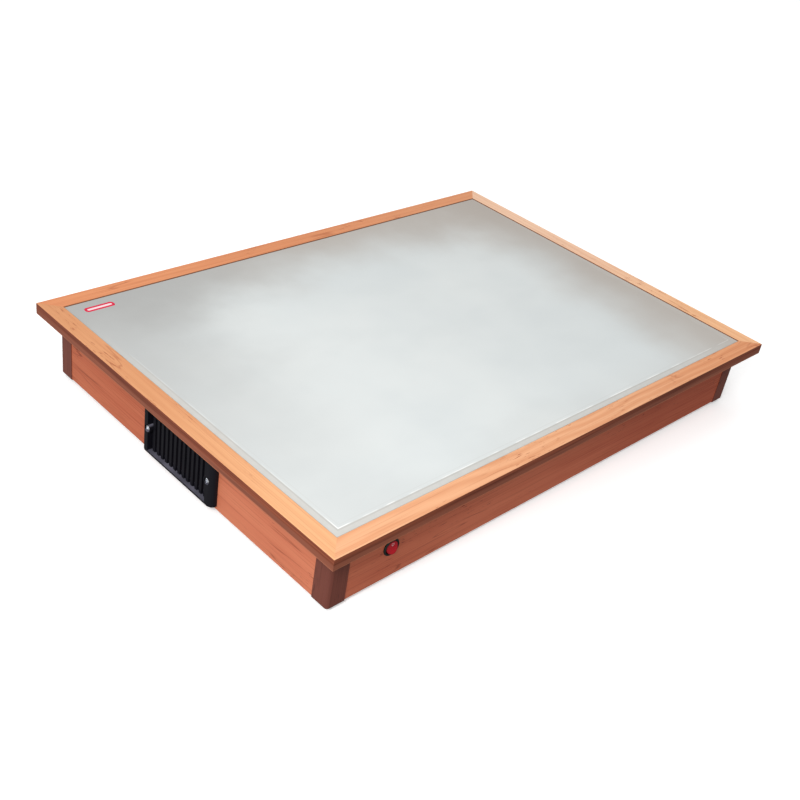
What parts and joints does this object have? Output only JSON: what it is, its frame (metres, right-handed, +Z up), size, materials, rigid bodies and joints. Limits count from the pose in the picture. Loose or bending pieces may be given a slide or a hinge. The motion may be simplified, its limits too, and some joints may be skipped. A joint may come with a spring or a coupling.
{
  "type": "light box",
  "caption": "Wooden tracing light box: mitred overhanging frame round a frosted glass top, dark corner posts, side grille and a round red rocker switch.",
  "frame": {"origin": "centre of the footprint, on the surface the feet stand on", "axes": "+X along the long side, to the right seen from the front; +Y from the front (the switch side) to the back; +Z up. The grille is on the -X end."},
  "size_m": [0.84, 0.6, 0.106],
  "materials": {
    "frame_wood": "satin oiled, straight grain",
    "panel_wood": "satin stained, reddish",
    "post_wood": "satin, dark brown",
    "plywood": "raw birch plywood",
    "beech": "raw",
    "etched_glass": "acid-etched, matte",
    "opal_sheet": "opal white acrylic",
    "badge_enamel": "gloss red with a pale border",
    "felt": "grey felt",
    "white_steel": "semi-gloss white powder coat",
    "lamp_glass": "phosphor-coated white",
    "cap_aluminium": "spun, satin",
    "holder_plastic": "moulded white",
    "gear_steel": "galvanised sheet",
    "black_plastic": "moulded black",
    "red_lens": "translucent red, glossy",
    "white_nylon": "moulded natural nylon",
    "brass": "stamped strip",
    "zinc": "bright zinc-plated steel",
    "rubber": "black rubber",
    "lead_pvc": "white sheathed lead"
  },
  "bodies": {
    "case": {"ballast_1": "gear_steel", "ballast_2": "gear_steel", "base_cleats": "plywood", "base_panel": "plywood", "base_screws": "zinc", "foot_screws": "zinc", "frame_rail_back": "frame_wood", "frame_rail_front": "frame_wood", "frame_rail_left": "frame_wood", "frame_rail_right": "frame_wood", "frame_screws": "zinc", "gear_screws": "zinc", "inlet_blades": "brass", "inlet_boot": "rubber", "inlet_screws": "zinc", "lamp_caps_1": "cap_aluminium", "lamp_caps_2": "cap_aluminium", "lamp_caps_3": "cap_aluminium", "lamp_caps_4": "cap_aluminium", "lamp_holders_1": "holder_plastic", "lamp_holders_2": "holder_plastic", "lamp_holders_3": "holder_plastic", "lamp_holders_4": "holder_plastic", "lamp_tube_1": "lamp_glass", "lamp_tube_2": "lamp_glass", "lamp_tube_3": "lamp_glass", "lamp_tube_4": "lamp_glass", "lead_clips": "white_nylon", "lead_feed": "lead_pvc", "lead_inlet": "lead_pvc", "lead_lamps": "lead_pvc", "lead_switch": "lead_pvc", "mitre_biscuits": "beech", "panel_back": "panel_wood", "panel_front": "panel_wood", "panel_left": "panel_wood", "panel_right": "panel_wood", "post_back_left": "post_wood", "post_back_right": "post_wood", "post_front_left": "post_wood", "post_front_right": "post_wood", "power_inlet": "black_plastic", "reflector_tray": "white_steel", "rubber_feet": "rubber", "seat_tape": "felt", "switch_boot": "rubber", "switch_housing": "black_plastic", "switch_terminals": "brass", "terminal_block": "holder_plastic", "vent_grille": "black_plastic", "vent_screws": "zinc"},
    "glass": {"top_glass": "etched_glass", "opal_diffuser": "opal_sheet", "badge_blank": "badge_enamel"},
    "rocker": {"switch_rocker": "red_lens", "switch_plunger": "white_nylon"},
    "contact": {"switch_contact": "brass"}
  },
  "joints": [
    {"name": "glass_lift", "type": "slide", "parent": "case", "child": "glass", "axis": [0, 0, 1], "range_m": [0, 0.08]},
    {"name": "rocker_tilt", "type": "hinge", "parent": "case", "child": "rocker", "pos_m": [-0.309, -0.276, 0.0525], "axis": [1, 0, 0], "range_deg": [0, 20]},
    {"name": "contact_tilt", "type": "hinge", "parent": "case", "child": "contact", "pos_m": [-0.309, -0.2655, 0.0525], "axis": [1, 0, 0], "range_deg": [-8, 0]}
  ],
  "couplings": [
    {"joint": "contact_tilt", "follows": "rocker_tilt", "ratio": -0.4}
  ]
}
